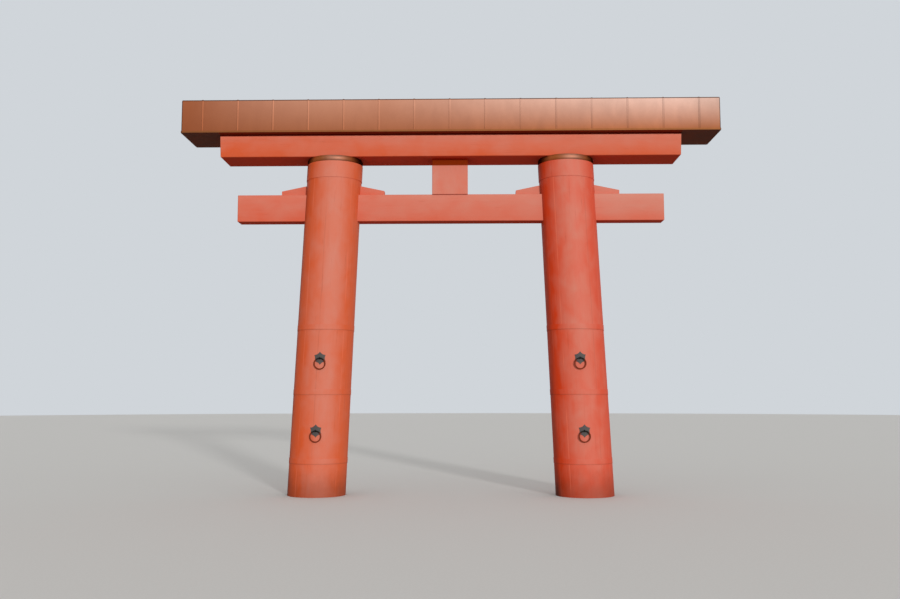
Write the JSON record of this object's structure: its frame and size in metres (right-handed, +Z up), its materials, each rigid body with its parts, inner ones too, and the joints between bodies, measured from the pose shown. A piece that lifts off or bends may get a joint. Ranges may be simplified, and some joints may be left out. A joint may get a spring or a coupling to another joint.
{
  "type": "torii gate",
  "caption": "Vermilion timber torii gate with round leaning columns, a through tie beam with wedges, a copper-clad top lintel and iron ring pulls.",
  "frame": {"origin": "on the ground, midway between the feet of the two columns", "axes": "+X along the gate from its left column to its right one as seen from the front, +Z up, -Y towards the front, where the ring pulls hang"},
  "size_m": [10.57, 1.1808, 7.763],
  "materials": {
    "vermilion_timber": "weathered vermilion paint on timber, matt, with pale salmon patches",
    "bare_timber": "sawn timber inside the copper jacket",
    "sheet_copper": "copper sheet with a soft sheen, browned by weather",
    "cap_copper": "smooth copper with a dull polish",
    "iron": "dark forged iron, slightly browned"
  },
  "bodies": {
    "gate": {"tie_beam": "vermilion_timber", "centre_strut": "vermilion_timber", "lower_lintel": "vermilion_timber", "upper_lintel": "bare_timber", "copper_front": "sheet_copper", "copper_back": "sheet_copper", "copper_top": "sheet_copper", "copper_left_end": "sheet_copper", "copper_right_end": "sheet_copper", "copper_soffit": "sheet_copper", "front_seams": "sheet_copper", "back_seams": "sheet_copper", "top_seams": "sheet_copper", "left_column": "vermilion_timber", "left_top_collar": "vermilion_timber", "left_outer_wedge": "vermilion_timber", "left_inner_wedge": "vermilion_timber", "left_lower_hoop": "vermilion_timber", "left_middle_hoop": "vermilion_timber", "left_upper_hoop": "vermilion_timber", "left_cap_ring": "cap_copper", "left_lower_ring_plate": "iron", "left_lower_ring_staple": "iron", "left_upper_ring_plate": "iron", "left_upper_ring_staple": "iron", "right_column": "vermilion_timber", "right_top_collar": "vermilion_timber", "right_outer_wedge": "vermilion_timber", "right_inner_wedge": "vermilion_timber", "right_lower_hoop": "vermilion_timber", "right_middle_hoop": "vermilion_timber", "right_upper_hoop": "vermilion_timber", "right_cap_ring": "cap_copper", "right_lower_ring_plate": "iron", "right_lower_ring_staple": "iron", "right_upper_ring_plate": "iron", "right_upper_ring_staple": "iron"},
    "left_lower_ring": {"left_lower_ring": "iron"},
    "left_upper_ring": {"left_upper_ring": "iron"},
    "right_lower_ring": {"right_lower_ring": "iron"},
    "right_upper_ring": {"right_upper_ring": "iron"}
  },
  "joints": [
    {"name": "left_lower_ring_swing", "type": "hinge", "parent": "gate", "child": "left_lower_ring", "pos_m": [-2.54372, -0.59027, 1.249], "axis": [-1, 0, 0], "range_deg": [-3, 183]},
    {"name": "left_upper_ring_swing", "type": "hinge", "parent": "gate", "child": "left_upper_ring", "pos_m": [-2.48158, -0.58559, 2.628], "axis": [-1, 0, 0], "range_deg": [-3, 183]},
    {"name": "right_lower_ring_swing", "type": "hinge", "parent": "gate", "child": "right_lower_ring", "pos_m": [2.54372, -0.59027, 1.249], "axis": [-1, 0, 0], "range_deg": [-3, 183]},
    {"name": "right_upper_ring_swing", "type": "hinge", "parent": "gate", "child": "right_upper_ring", "pos_m": [2.48158, -0.58559, 2.628], "axis": [-1, 0, 0], "range_deg": [-3, 183]}
  ]
}
